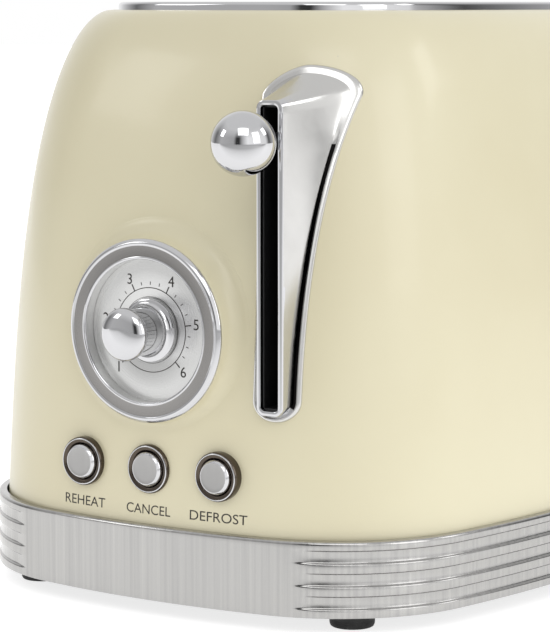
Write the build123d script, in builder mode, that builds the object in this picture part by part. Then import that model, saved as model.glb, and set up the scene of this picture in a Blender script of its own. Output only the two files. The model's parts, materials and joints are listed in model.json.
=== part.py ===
"""Two-slice pop up toaster with a retro pressed-steel body, as separate working pieces.

Frame: millimetres, +Z up, the control end faces -Y, the long axis of the bread slots runs along Y.
The origin is on the surface that the toaster stands on, below the middle of its overall box.
"""
from build123d import *
from math import cos, radians, sin
import os

os.makedirs("parts", exist_ok=True)

# ---------------------------------------------------------------- driving dimensions
# Body in plan: a rectangle whose ends and sides are bowed outwards
half_width = 100.0
half_length = 145.0
body_y = 8.0                # the body's middle, behind the overall box's middle by half the ball's reach
end_bow_radius = 270.0
side_bow_radius = 411.0
corner_radius = 55.0

# Heights
foot_height = 5.0
plate_top = 7.0             # inner face of the base plate
band_top = 28.5
shell_top = 186.7
overall_height = 189.3

# Shell: a painted steel pressing that narrows upwards and rolls over into a flat top
skin = 0.8
band_thickness = 2.8
shell_base_inset = 2.9
draft_inset = 7.7           # even lean of the wall over its whole height
shoulder_inset = 24.6       # extra inset gathered by the rolled shoulder
profile_steps = 9
skirt_bottom = 8.0          # the shell reaches down inside the band
top_plate_inset = 37.0
top_opening_inset = 40.0
top_plate_sheet = 1.0
boss_taper = 14.0           # degrees that the dial boss widens towards the wall
boss_depth = 14.0

# Ribbed band
groove_width = 3.8
groove_depth = 0.9
groove_pitch = 7.0
groove_top_gap = 4.7        # first groove's centre below the band's top
smooth_panel_half_width = 52.5

# Feet and the screws that hold the base plate, from the body's middle
foot_x = 60.0
foot_y = 120.0
foot_radius = 7.5
screw_x = 66.0
screw_y = 68.0

# Bread wells
well_x = 24.0
slot_width = 34.0
slot_length = 140.0
chassis_half_gap = 74.0     # from the body's middle to each chassis plate
chassis_half_width = 54.0
chassis_top = 182.0
sheet = 1.0
well_lip_bottom = 178.0      # lower edge of the turned-down lips round the bread slots
reflector_x = 52.0
guide_offset = 13.0         # bread guide from the middle of its well
guide_pivot_z = 40.0
guide_top_z = 172.0
guide_wire_radius = 0.8
guide_rail_radius = 1.0
running_clearance = 0.05

# Heaters: ribbon wound on mica boards
heater_names = ("left", "centre", "right")
heater_x = (-47.0, 0.0, 47.0)
heater_bottom = 48.0
heater_top = 168.0
tab_z = (70.0, 146.0)
tab_half_height = 4.0
mica_thickness = 0.8
ribbon_thickness = 0.3
ribbon_width = 1.6

# Lever and carriage
lever_x = 43.0
lever_z = 148.3
ball_radius = 9.7
ball_y = -146.0
stem_radius = 2.5
lever_slot_front = -132.5
lever_slot_width = 6.0
lever_slot_bottom = 67.4
lever_slot_top = 158.9
escutcheon_lip = 1.6
escutcheon_depth = 20.0
rod_y = -100.0
rod_radius = 3.0
carriage_back = -92.0
lifter_bottom = 112.0
lifter_top = 120.0
sleeve_half = 6.0           # half the width of the block that runs on the rod
sleeve_bottom = 136.0
sleeve_top = 162.0
rod_top = 174.0
spring_radius = 5.0
spring_wire_radius = 0.6
spring_turns = 12

# Dial
dial_x = -0.9
dial_z = 88.9
bezel_front = -136.4
bezel_seat = -134.6         # front of the boss that the bezel sits on
bezel_radius = 28.5
bezel_flat_radius = 26.8
bezel_opening_radius = 22.1
dial_recess_radius = 24.0
dial_face_front = -132.0
dial_face_thickness = 1.2
dial_hole_radius = 5.0
knob_back = -132.4
knob_front = -149.0
shaft_front = -142.0
shaft_radius = 3.0

# Buttons
button_names = ("reheat", "cancel", "defrost")
button_x = (-26.4, -0.9, 24.6)
button_z = 45.7
button_radius = 5.5
button_front = -135.6
button_ring_front = -134.6
button_ring_radius = 7.7
button_ring_bore = 5.65
button_hole_radius = 7.0

# Control board
board_front = -114.0
board_thickness = 1.6
switch_height = 3.4

# Latch magnet under the carriage
magnet_x = 20.0
magnet_y = -105.0
yoke_bottom = 47.0
yoke_top = 49.2
core_top = 65.2
core_radius = 3.5
coil_radius = 6.4

# Crumb tray
tray_half_width = 46.0
tray_bottom = 8.0
tray_front = -62.0
tray_mouth_half_width = 50.0
tray_wall = 0.8
tray_height = 6.0
tray_mouth_bottom = 7.5
tray_mouth_top = 20.5

# Cord gland
gland_x = -45.0
gland_z = 45.0
gland_bore_radius = 3.6
gland_tube_radius = 6.0
gland_flange_radius = 8.0


# ---------------------------------------------------------------- shared shapes
def save(part, label):
    """Label a finished piece and write its STEP file."""
    part.label = label
    export_step(part, f"parts/{label}.step")


def outline(inset, height):
    """The body's bowed plan outline at a height, moved in evenly by an inset."""
    end_reach = end_bow_radius - half_length
    side_reach = side_bow_radius - half_width
    with BuildSketch(Plane.XY.offset(height)) as plan:
        with Locations((0, body_y + end_reach)):
            Circle(end_bow_radius - inset)
        with Locations((0, body_y - end_reach)):
            Circle(end_bow_radius - inset, mode=Mode.INTERSECT)
        with Locations((side_reach, body_y)):
            Circle(side_bow_radius - inset, mode=Mode.INTERSECT)
        with Locations((-side_reach, body_y)):
            Circle(side_bow_radius - inset, mode=Mode.INTERSECT)
        fillet(plan.vertices(), corner_radius - inset)
    return plan.sketch


def wall_block(thickness, depth):
    """A ring under the shell's outer surface moved in by a thickness, reaching in as far as a depth.

    Its section is swept round the plan outline, so every part of the wall has the same profile.
    """
    path = outline(0, 0).faces()[0].outer_wire()
    start = path @ 0
    inward = Vector(0, 0, 1).cross(path % 0)
    if inward.dot(Vector(0, body_y, 0) - start) < 0:
        inward = -inward
    section_plane = Plane(origin=start, x_dir=inward, z_dir=inward.cross(Vector(0, 0, 1)))
    rise = shell_top - thickness - band_top
    profile = []
    for step in range(profile_steps + 1):
        turn = radians(90 * step / profile_steps)
        share = sin(turn) ** (2 / 3)
        inset = shell_base_inset + draft_inset * share + shoulder_inset * (1 - cos(turn))
        profile.append((inset + thickness, band_top + rise * share))
    foot = profile[0]
    crown = profile[-1]
    with BuildPart() as ring:
        with BuildSketch(section_plane):
            with BuildLine():
                Spline(*profile, tangents=((draft_inset, rise), (1, 0)))
                Polyline(crown, (depth, crown[1]), (depth, skirt_bottom), (foot[0], skirt_bottom), foot)
            make_face()
        sweep(path=path)
    return ring.part


def front_plane(y):
    """A drawing plane across the toaster at y: its x is the row's X, its y is up, it faces the user."""
    return Plane(origin=(0, y, 0), x_dir=(1, 0, 0), z_dir=(0, -1, 0))


def block(x_low, x_high, y_low, y_high, z_low, z_high, mode=Mode.ADD):
    """A box given by its limits."""
    with Locations(((x_low + x_high) / 2, (y_low + y_high) / 2, (z_low + z_high) / 2)):
        Box(x_high - x_low, y_high - y_low, z_high - z_low, mode=mode)


def peg(x, z, y_front, y_back, radius, mode=Mode.ADD):
    """A round peg or hole along Y."""
    with BuildSketch(front_plane(y_back)) as section:
        with Locations((x, z)):
            Circle(radius)
    extrude(section.sketch, amount=y_back - y_front, mode=mode)


outer_body = wall_block(0, 60)
inner_body = wall_block(skin, 60)


# ---------------------------------------------------------------- housing
def make_body_shell():
    with BuildPart() as shell:
        add(wall_block(0, top_opening_inset))
        # round boss that carries the dial bezel square to the user
        with BuildSketch(front_plane(bezel_seat)):
            with Locations((dial_x, dial_z)):
                Circle(bezel_radius)
        extrude(amount=-boss_depth, taper=-boss_taper)
        add(inner_body, mode=Mode.SUBTRACT)
        # dial recess, then the smaller hole behind it
        back = bezel_seat + 20
        face_back = dial_face_front + dial_face_thickness
        peg(dial_x, dial_z, bezel_seat - 1, face_back, dial_recess_radius, Mode.SUBTRACT)
        peg(dial_x, dial_z, bezel_seat, back, bezel_opening_radius - 1, Mode.SUBTRACT)
        for x in button_x:
            peg(x, button_z, bezel_seat, back, button_hole_radius, Mode.SUBTRACT)
        block(
            lever_x - 4.5, lever_x + 4.5, -140, rod_y - 7,
            lever_slot_bottom - 3, lever_slot_top + 2, Mode.SUBTRACT,
        )
        # crumb tray mouth and cord hole at the back
        block(
            -tray_mouth_half_width, tray_mouth_half_width, body_y + 100, body_y + 160,
            skirt_bottom - 1, tray_mouth_top + 0.5, Mode.SUBTRACT,
        )
        gland_hole = gland_tube_radius + 0.1
        peg(gland_x, gland_z, body_y + 110, body_y + 150, gland_hole, Mode.SUBTRACT)
    save(shell.part, "body_shell")


def make_top_plate():
    wells = (well_x, body_y), (-well_x, body_y)
    under = overall_height - top_plate_sheet
    with BuildPart() as plate:
        add(outline(top_plate_inset, shell_top))
        extrude(amount=overall_height - shell_top)
        fillet(plate.edges().group_by(Axis.Z)[-1], 1.2)
        # collar that locates the plate in the shell, and the hollow inside it
        add(outline(top_opening_inset + 0.1, shell_top - 3.5))
        extrude(amount=under - shell_top + 3.5)
        add(outline(top_opening_inset + 1.1, shell_top - 4))
        extrude(amount=under - shell_top + 4, mode=Mode.SUBTRACT)
        # turned-down lips round the bread slots
        with BuildSketch(Plane.XY.offset(well_lip_bottom)):
            with Locations(*wells):
                RectangleRounded(slot_width + 2, slot_length + 2, 6)
        extrude(amount=overall_height - well_lip_bottom - 0.5)
        with BuildSketch(Plane.XY.offset(well_lip_bottom - 1)):
            with Locations(*wells):
                RectangleRounded(slot_width, slot_length, 5)
        extrude(amount=20, mode=Mode.SUBTRACT)
    save(plate.part, "top_plate")


def make_base_band():
    height = band_top - foot_height
    with BuildPart() as band:
        add(outline(0, foot_height))
        extrude(amount=height)
        fillet(band.edges().group_by(Axis.Z)[-1], 1.2)
        add(outline(band_thickness, foot_height))
        extrude(amount=height, mode=Mode.SUBTRACT)
    with BuildPart() as grooves:
        for row in range(3):
            bottom = band_top - groove_top_gap - row * groove_pitch - groove_width / 2
            with BuildSketch(Plane.XY.offset(bottom)):
                add(outline(-3, 0))
                add(outline(groove_depth, 0), mode=Mode.SUBTRACT)
            extrude(amount=groove_width)
        block(
            -smooth_panel_half_width, smooth_panel_half_width, -200, 200,
            0, 40, Mode.SUBTRACT,
        )
    with BuildPart() as ribbed:
        add(band.part)
        add(grooves.part, mode=Mode.SUBTRACT)
        block(
            -tray_mouth_half_width, tray_mouth_half_width, body_y + 100, body_y + 160,
            tray_mouth_bottom, tray_mouth_top, Mode.SUBTRACT,
        )
    save(ribbed.part, "base_band")


def make_base_plate():
    with BuildPart() as plate:
        add(outline(band_thickness, foot_height))
        extrude(amount=plate_top - foot_height)
        with BuildSketch(Plane.XY.offset(foot_height)):
            with Locations((0, body_y)):
                with GridLocations(26, 22, 4, 6):
                    SlotOverall(18, 4)
            with Locations((0, body_y)):
                with GridLocations(2 * screw_x, 2 * screw_y, 2, 2):
                    Circle(1.6)
        extrude(amount=plate_top - foot_height, mode=Mode.SUBTRACT)
    save(plate.part, "base_plate")


def make_feet():
    for side, x in (("left", -foot_x), ("right", foot_x)):
        for end, y in (("front", body_y - foot_y), ("rear", body_y + foot_y)):
            with BuildPart() as foot:
                with Locations((x, y, foot_height / 2)):
                    Cylinder(foot_radius, foot_height)
                fillet(foot.edges().group_by(Axis.Z)[0], 1.4)
                with Locations((x, y, 1)):
                    Cylinder(2.6, 2, mode=Mode.SUBTRACT)
            save(foot.part, f"foot_{end}_{side}")


def make_base_screws():
    with BuildPart() as screws:
        with Locations((0, body_y, foot_height - 1)):
            with GridLocations(2 * screw_x, 2 * screw_y, 2, 2):
                Cylinder(3.4, 2)
        with Locations((0, body_y, foot_height + 2.5)):
            with GridLocations(2 * screw_x, 2 * screw_y, 2, 2):
                Cylinder(1.5, 5)
        with Locations((0, body_y, foot_height - 1.6)):
            with GridLocations(2 * screw_x, 2 * screw_y, 2, 2):
                Box(4, 0.8, 0.8, mode=Mode.SUBTRACT)
                Box(0.8, 4, 0.8, mode=Mode.SUBTRACT)
    save(screws.part, "base_screws")


# ---------------------------------------------------------------- lever fittings
def escutcheon_face(y, half_widths, bottom, top):
    """A long upright outline, widest at its top: half_widths are (height, half width) up its side."""
    right = [(lever_x + half, height) for height, half in half_widths]
    left = [(lever_x - half, height) for height, half in half_widths]
    with BuildSketch(front_plane(y)) as face:
        with BuildLine():
            Spline(*right)
            ThreePointArc(right[-1], (lever_x, top), left[-1])
            Spline(*reversed(left))
            ThreePointArc(left[0], (lever_x, bottom), right[0])
        make_face()
    return face.sketch


def make_escutcheon():
    frame = lever_slot_width / 2 + escutcheon_lip
    with BuildPart() as cover:
        add(escutcheon_face(
            lever_slot_front, [(69.0, frame), (95.0, frame), (128.0, frame), (157.5, frame)],
            lever_slot_bottom - escutcheon_lip, lever_slot_top + escutcheon_lip,
        ))
        add(escutcheon_face(
            lever_slot_front + escutcheon_depth, [(61.0, 17.0), (95.0, 14.9), (128.0, 16.2), (160.0, 21.2)],
            50.8, 171.0,
        ))
        loft(ruled=True)
        add(outer_body, mode=Mode.SUBTRACT)
        # slot in the front, and the pocket behind it that takes the dark liner
        with BuildSketch(front_plane(lever_slot_front - 1)):
            with Locations((lever_x, (lever_slot_bottom + lever_slot_top) / 2)):
                RectangleRounded(lever_slot_width, lever_slot_top - lever_slot_bottom, 1.5)
        extrude(amount=-30, mode=Mode.SUBTRACT)
        block(
            lever_x - 3.7, lever_x + 3.7, lever_slot_front + escutcheon_lip, lever_slot_front + 30,
            lever_slot_bottom - 0.5, lever_slot_top + 0.5, Mode.SUBTRACT,
        )
    save(cover.part, "lever_escutcheon")


def make_slot_liner():
    front = lever_slot_front + escutcheon_lip
    with BuildPart() as liner:
        block(
            lever_x - 3.6, lever_x + 3.6, front, rod_y - 12,
            lever_slot_bottom - 0.4, lever_slot_top + 0.4,
        )
        block(
            lever_x - 2.7, lever_x + 2.7, front - 1, rod_y - 13,
            lever_slot_bottom + 0.6, lever_slot_top - 0.6, Mode.SUBTRACT,
        )
        # narrow slit at the back for the flat lever arm
        block(
            lever_x - 2.0, lever_x + 2.0, rod_y - 14, rod_y - 11,
            lever_slot_bottom + 0.6, lever_slot_top - 0.6, Mode.SUBTRACT,
        )
    save(liner.part, "slot_liner")


# ---------------------------------------------------------------- lever and carriage
def make_lever():
    with BuildPart() as ball:
        with Locations((lever_x, ball_y, lever_z)):
            Sphere(ball_radius)
        peg(lever_x, lever_z, ball_y - 4, ball_y + 12, stem_radius, Mode.SUBTRACT)
    save(ball.part, "lever_ball")
    with BuildPart() as arm:
        peg(lever_x, lever_z, ball_y - 4, rod_y - 22, stem_radius)
        block(
            lever_x - 1.5, lever_x + 1.5, rod_y - 23, rod_y - 6,
            lever_z - 2.5, lever_z + 2.5,
        )
    save(arm.part, "lever_arm")


def make_carriage():
    right = lever_x + sleeve_half
    front = rod_y + sleeve_half
    with BuildPart() as carriage:
        # sleeve block that runs on the guide rod
        block(lever_x - sleeve_half, right, rod_y - sleeve_half, front, sleeve_bottom, sleeve_top)
        # cross plate behind it that carries both bread lifters
        block(-30, right, front, carriage_back, lifter_bottom, 124)
        block(10, right, front, carriage_back, 124, 146)
        block(lever_x - sleeve_half, right, front, carriage_back, 146, sleeve_top)
        with Locations((lever_x, rod_y, (sleeve_bottom + sleeve_top) / 2)):
            Cylinder(rod_radius + running_clearance, 40, mode=Mode.SUBTRACT)
    save(carriage.part, "carriage_bracket")
    with BuildPart() as keeper:
        block(magnet_x - 8, magnet_x + 8, rod_y - 10, front, 140.5, 143)
    save(keeper.part, "latch_keeper")


def make_lifters():
    back = body_y + chassis_half_gap + 5
    for side, x in (("left", -well_x), ("right", well_x)):
        with BuildPart() as lifter:
            block(x - 0.75, x + 0.75, carriage_back, back, lifter_bottom, lifter_top)
            # cross tabs that the bread stands on
            with Locations((x, body_y, lifter_top + 0.6)):
                with GridLocations(1, 15, 1, 9):
                    Box(8, 4, 1.2)
        save(lifter.part, f"bread_lifter_{side}")


def make_rod_and_spring():
    with BuildPart() as rod:
        with Locations((lever_x, rod_y, (plate_top + rod_top) / 2)):
            Cylinder(rod_radius, rod_top - plate_top)
    save(rod.part, "guide_rod")
    chassis_front = body_y - chassis_half_gap - sheet
    with BuildPart() as bracket:
        block(lever_x - 7, lever_x + 7, rod_y - 5, chassis_front, 171, 173)
        block(lever_x - 7, lever_x + 7, chassis_front - 1.2, chassis_front, 158, 171)
        with Locations((lever_x, rod_y, 172)):
            Cylinder(rod_radius, 4, mode=Mode.SUBTRACT)
    save(bracket.part, "rod_bracket")
    bottom = plate_top + spring_wire_radius
    height = sleeve_bottom - spring_wire_radius - bottom
    centre = (lever_x, rod_y, bottom)
    start = (lever_x + spring_radius, rod_y, bottom)
    with BuildPart() as spring:
        with BuildLine():
            Helix(pitch=height / spring_turns, height=height, radius=spring_radius, center=centre)
        with BuildSketch(Plane(origin=start, x_dir=(1, 0, 0), z_dir=(0, 1, 0))):
            Circle(spring_wire_radius)
        sweep(is_frenet=True)
    save(spring.part, "return_spring")


# ---------------------------------------------------------------- bread wells
def make_chassis():
    hole_radius = guide_rail_radius + running_clearance
    tab_slot = tab_half_height + 0.1
    for end, sign in (("front", -1), ("rear", 1)):
        inner = body_y + sign * chassis_half_gap
        low = min(inner, inner + sign * sheet)
        high = low + sheet
        with BuildPart() as plate:
            block(-chassis_half_width, chassis_half_width, low, high, plate_top, chassis_top)
            # bottom opening for the crumb tray, and a slot for each lifter
            block(-48, 48, low, high, plate_top, 16, Mode.SUBTRACT)
            for x in (-well_x, well_x):
                block(x - 2, x + 2, low, high, 34, 130, Mode.SUBTRACT)
                for offset in (-guide_offset, guide_offset):
                    peg(x + offset, guide_pivot_z, low, high, hole_radius, Mode.SUBTRACT)
            for x in heater_x:
                for z in tab_z:
                    block(x - 0.5, x + 0.5, low, high, z - tab_slot, z + tab_slot, Mode.SUBTRACT)
        save(plate.part, f"{end}_chassis_plate")


def make_heaters():
    front = body_y - chassis_half_gap
    back = body_y + chassis_half_gap
    half = mica_thickness / 2
    height = heater_top - heater_bottom
    middle = (heater_bottom + heater_top) / 2
    for name, x in zip(heater_names, heater_x):
        with BuildPart() as board:
            block(x - half, x + half, front, back, heater_bottom, heater_top)
            for z in tab_z:
                low, high = z - tab_half_height, z + tab_half_height
                block(x - half, x + half, front - sheet, back + sheet, low, high)
        save(board.part, f"heater_board_{name}")
        with BuildPart() as winding:
            with Locations((x, body_y, middle)):
                with GridLocations(1, 11, 1, 12):
                    Box(mica_thickness + 2 * ribbon_thickness, ribbon_width, height + 2 * ribbon_thickness)
                    Box(mica_thickness, ribbon_width, height, mode=Mode.SUBTRACT)
        save(winding.part, f"heater_winding_{name}")


def make_reflectors():
    front = body_y - chassis_half_gap
    back = body_y + chassis_half_gap
    for side, x in (("left", -reflector_x), ("right", reflector_x)):
        with BuildPart() as wall:
            block(x - 0.4, x + 0.4, front, back, 18, 178)
        save(wall.part, f"reflector_{side}")


def make_bread_guides():
    reach = chassis_half_gap + sheet
    for side, middle in (("left", -well_x), ("right", well_x)):
        for place, offset in (("a", -guide_offset), ("b", guide_offset)):
            x = middle + offset
            with BuildPart() as guide:
                peg(x, guide_pivot_z, body_y - reach, body_y + reach, guide_rail_radius)
                peg(x, guide_top_z, body_y - 68, body_y + 68, guide_rail_radius)
                peg(x, 106, body_y - 67, body_y + 67, guide_wire_radius)
                with Locations((x, body_y, (guide_pivot_z + guide_top_z) / 2)):
                    with GridLocations(1, 22, 1, 7):
                        Cylinder(guide_wire_radius, guide_top_z - guide_pivot_z)
            save(guide.part, f"bread_guide_{side}_{place}")


# ---------------------------------------------------------------- dial
def turned(profile, x, z):
    """Revolve a closed list of (radius, y) points about a front-to-back axis."""
    with BuildPart() as piece:
        with BuildSketch(Plane(origin=(x, 0, z), x_dir=(1, 0, 0), z_dir=(0, 0, 1))):
            with BuildLine():
                Polyline(*profile, close=True)
            make_face()
        revolve(axis=Axis((x, 0, z), (0, 1, 0)))
    return piece.part


def make_dial():
    face_back = dial_face_front + dial_face_thickness
    bezel = turned(
        [
            (bezel_opening_radius, bezel_front), (bezel_flat_radius, bezel_front),
            (bezel_radius, bezel_seat), (dial_recess_radius, bezel_seat),
            (dial_recess_radius, dial_face_front), (bezel_opening_radius, dial_face_front),
        ],
        dial_x, dial_z,
    )
    save(bezel, "dial_bezel")
    face = turned(
        [
            (dial_hole_radius, dial_face_front), (dial_recess_radius, dial_face_front),
            (dial_recess_radius, face_back), (dial_hole_radius, face_back),
        ],
        dial_x, dial_z,
    )
    save(face, "dial_face")
    with BuildPart() as knob:
        with BuildSketch(Plane(origin=(dial_x, 0, dial_z), x_dir=(1, 0, 0), z_dir=(0, 0, 1))):
            with BuildLine():
                Polyline(
                    (shaft_radius, shaft_front), (shaft_radius, knob_back), (9.4, knob_back),
                    (9.8, -133.0), (9.4, -134.2),
                )
                Spline((9.4, -134.2), (6.2, -136.6), (5.4, -140.0), (6.6, -143.6))
                Spline((6.6, -143.6), (8.2, -144.6), (8.2, -146.6), (5.4, -148.4), (0, knob_front))
                Polyline((0, knob_front), (0, shaft_front), (shaft_radius, shaft_front))
            make_face()
        revolve(axis=Axis((dial_x, 0, dial_z), (0, 1, 0)))
    save(knob.part, "dial_knob")
    with BuildPart() as shaft:
        peg(dial_x, dial_z, shaft_front, board_front - 4, shaft_radius)
    save(shaft.part, "dial_shaft")


def make_buttons():
    for name, x in zip(button_names, button_x):
        with BuildPart() as button:
            peg(x, button_z, button_front, button_front + 7, button_radius)
            fillet(button.edges().group_by(Axis.Y)[0], 0.7)
            peg(x, button_z, button_front + 7, board_front - 5.2, 2.0)
        save(button.part, f"{name}_button")
        with BuildPart() as ring:
            peg(x, button_z, button_ring_front, button_ring_front + 9, button_ring_radius)
            add(outer_body, mode=Mode.SUBTRACT)
            peg(x, button_z, button_ring_front, button_ring_front + 9, button_hole_radius)
            fillet(ring.edges().group_by(Axis.Y)[0], 0.6)
            peg(x, button_z, button_ring_front - 1, button_ring_front + 10, button_ring_bore, Mode.SUBTRACT)
        save(ring.part, f"{name}_ring")
        with BuildPart() as switch:
            front = board_front - switch_height
            block(x - 3, x + 3, front, board_front, button_z - 3, button_z + 3)
        save(switch.part, f"{name}_switch")


# ---------------------------------------------------------------- electrical pieces
def make_controls():
    board_back = board_front + board_thickness
    with BuildPart() as board:
        block(-45, 32, board_front, board_back, 30, 112)
    save(board.part, "control_board")
    with BuildPart() as potentiometer:
        block(dial_x - 9, dial_x + 9, board_front - 6, board_front, dial_z - 9, dial_z + 9)
        peg(dial_x, dial_z, board_front - 10, board_front - 6, 4.5)
        shaft_hole = shaft_radius + running_clearance
        peg(dial_x, dial_z, board_front - 11, board_front - 3.5, shaft_hole, Mode.SUBTRACT)
    save(potentiometer.part, "potentiometer")
    with BuildPart() as bracket:
        block(-44, 8, board_back, board_back + 1.5, plate_top, 60)
        block(-44, 8, board_back + 1.5, board_back + 14, plate_top, plate_top + 1.5)
    save(bracket.part, "control_bracket")
    with BuildPart() as core:
        block(magnet_x - 7, magnet_x + 7, board_back, magnet_y + 7, yoke_bottom, yoke_top)
        with Locations((magnet_x, magnet_y, (yoke_top + core_top) / 2)):
            Cylinder(core_radius, core_top - yoke_top)
    save(core.part, "latch_magnet_core")
    with BuildPart() as coil:
        with Locations((magnet_x, magnet_y, (yoke_top + core_top) / 2 - 0.6)):
            Cylinder(coil_radius, core_top - yoke_top - 1.2)
            Cylinder(core_radius, core_top - yoke_top - 1.2, mode=Mode.SUBTRACT)
    save(coil.part, "latch_magnet_coil")


def make_cord_gland():
    rear = body_y + half_length
    with BuildPart() as gland:
        peg(gland_x, gland_z, rear - 14, rear - 3.5, gland_flange_radius)
        add(outer_body, mode=Mode.SUBTRACT)
        peg(gland_x, gland_z, rear - 16, rear - 3.5, gland_tube_radius)
        peg(gland_x, gland_z, rear - 17, rear, gland_bore_radius, Mode.SUBTRACT)
    save(gland.part, "cord_gland")


# ---------------------------------------------------------------- crumb tray
def make_crumb_tray():
    rear = body_y + half_length
    inner_half = tray_half_width - tray_wall
    tray_top = tray_bottom + tray_height
    with BuildPart() as tray:
        block(-tray_half_width, tray_half_width, tray_front, rear, tray_bottom, tray_top)
        block(
            -inner_half, inner_half, tray_front + tray_wall, rear - 10,
            tray_bottom + tray_wall, tray_top + 1, Mode.SUBTRACT,
        )
        add(outline(band_thickness, 0))
        extrude(amount=40, mode=Mode.INTERSECT)
    save(tray.part, "crumb_tray")
    with BuildPart() as handle:
        add(outline(0, tray_mouth_bottom + 0.4))
        extrude(amount=tray_mouth_top - tray_mouth_bottom - 0.8)
        add(outline(band_thickness, tray_mouth_bottom))
        extrude(amount=20, mode=Mode.SUBTRACT)
        half = tray_mouth_half_width - 0.5
        block(-half, half, rear - 20, rear + 10, 0, 40, Mode.INTERSECT)
        block(-18, 18, rear - 1.5, rear + 2.7, 12.6, 16.4)
    save(handle.part, "tray_handle")


make_body_shell()
make_top_plate()
make_base_band()
make_base_plate()
make_feet()
make_base_screws()
make_escutcheon()
make_slot_liner()
make_lever()
make_carriage()
make_lifters()
make_rod_and_spring()
make_chassis()
make_heaters()
make_reflectors()
make_bread_guides()
make_dial()
make_buttons()
make_controls()
make_cord_gland()
make_crumb_tray()
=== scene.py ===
import bmesh
import bpy
import json
from math import asin, atan2, cos, degrees, hypot, pi, radians, sin, sqrt
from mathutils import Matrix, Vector


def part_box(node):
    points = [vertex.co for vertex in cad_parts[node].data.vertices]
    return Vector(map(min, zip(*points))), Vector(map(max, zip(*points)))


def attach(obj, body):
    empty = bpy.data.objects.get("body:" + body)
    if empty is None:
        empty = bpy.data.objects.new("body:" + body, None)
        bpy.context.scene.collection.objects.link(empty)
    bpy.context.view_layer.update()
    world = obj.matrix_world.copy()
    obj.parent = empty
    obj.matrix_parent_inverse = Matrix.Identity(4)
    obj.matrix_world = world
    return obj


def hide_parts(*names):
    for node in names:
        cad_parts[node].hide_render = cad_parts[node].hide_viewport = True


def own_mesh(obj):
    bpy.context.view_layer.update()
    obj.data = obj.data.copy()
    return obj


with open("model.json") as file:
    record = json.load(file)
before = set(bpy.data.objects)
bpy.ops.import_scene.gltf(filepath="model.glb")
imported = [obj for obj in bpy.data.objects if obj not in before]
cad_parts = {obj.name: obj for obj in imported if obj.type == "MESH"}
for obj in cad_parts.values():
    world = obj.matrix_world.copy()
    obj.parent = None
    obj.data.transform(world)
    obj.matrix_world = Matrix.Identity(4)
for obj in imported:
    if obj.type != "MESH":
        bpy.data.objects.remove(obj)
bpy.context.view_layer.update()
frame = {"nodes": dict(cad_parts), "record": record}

# Shapes below are worked out in millimetres and become metres when a mesh is made.
MM = 0.001
WELD_DISTANCE = 1e-7        # metres
NODES = frame["nodes"]


def box_mm(node):
    """A CAD node's lowest and highest corners, in millimetres."""
    low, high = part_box(node)
    return low / MM, high / MM


def middle(node):
    """The middle of a CAD node's box, in millimetres."""
    low, high = box_mm(node)
    return (low + high) / 2


# ---------------------------------------------------------------- body form, as the CAD part has it
band_low, band_high = box_mm("base_band")
shell_low, shell_high = box_mm("body_shell")
plate_low, plate_high = box_mm("top_plate")
BODY_Y = (band_low.y + band_high.y) / 2
HALF_WIDTH = band_high.x
HALF_LENGTH = (band_high.y - band_low.y) / 2
END_BOW = 270.0             # radius of the bowed front and back, in plan
SIDE_BOW = 411.0
CORNER = 55.0
CORNER_GAIN = 3.5           # the shell's corners beyond an even offset: at once, in proportion, and squared
CORNER_GROWTH = 11.0
CORNER_SWELL = 6.5
BAND_BOTTOM = band_low.z
BAND_TOP = band_high.z
SHELL_TOP = shell_high.z
TOP = plate_high.z
SKIRT_BOTTOM = shell_low.z
PLAN_STEP = 2.2             # spacing of the points round the plan outline
SKIN = 0.7
BAND_THICKNESS = 2.8
SHELL_INSET = 2.9           # how far inside the band's outline the wall starts, leans in and rolls over
DRAFT_INSET = 7.7
SHOULDER_INSET = 24.6
TOP_PLATE_INSET = 37.0

END_CENTRE = HALF_LENGTH - END_BOW      # of the bow at the front, measured forwards from the body's middle
SIDE_CENTRE = HALF_WIDTH - SIDE_BOW


def shell_corner(inset):
    """The shell's corner radius at an inset: its corners stay rounder than an even offset would make them."""
    share = (inset - SHELL_INSET) / (TOP_PLATE_INSET - SHELL_INSET)
    return CORNER - inset + CORNER_GAIN + CORNER_GROWTH * share + CORNER_SWELL * share ** 2


def band_corner(inset):
    """The band's corner radius at an inset."""
    return CORNER - inset


def corner_arc(inset, corner):
    """Centre of a rounded corner, along X and forwards from the body's middle, and its arc's two angles."""
    near_end = END_BOW - inset - corner
    near_side = SIDE_BOW - inset - corner
    reach = hypot(END_CENTRE, SIDE_CENTRE)
    along = (near_end ** 2 - near_side ** 2 + reach ** 2) / (2 * reach)
    off = sqrt(near_end ** 2 - along ** 2)
    ux = SIDE_CENTRE / reach
    uy = -END_CENTRE / reach
    x = ux * along + uy * off
    forward = END_CENTRE + uy * along - ux * off
    return x, forward, atan2(x, forward - END_CENTRE), atan2(x - SIDE_CENTRE, forward)


def plan_columns(spacing):
    """Columns round the plan outline: for each, the quarter it is in, its arc and its share of that arc."""
    _, _, end_turn, side_turn = corner_arc(0, CORNER)
    lengths = (END_BOW * end_turn, CORNER * (side_turn - end_turn), SIDE_BOW * (pi / 2 - side_turn))
    columns = []
    for flip_x, flip_y in ((1, 1), (1, -1), (-1, -1), (-1, 1)):
        run = []
        for arc, length in enumerate(lengths):
            count = max(2, round(length / spacing))
            for step in range(count):
                run.append((arc, step / count))
        run.append((2, 1.0))
        if flip_x != flip_y:
            run.reverse()
        columns += [(flip_x, flip_y, arc, share) for arc, share in run[:-1]]
    return columns


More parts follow.
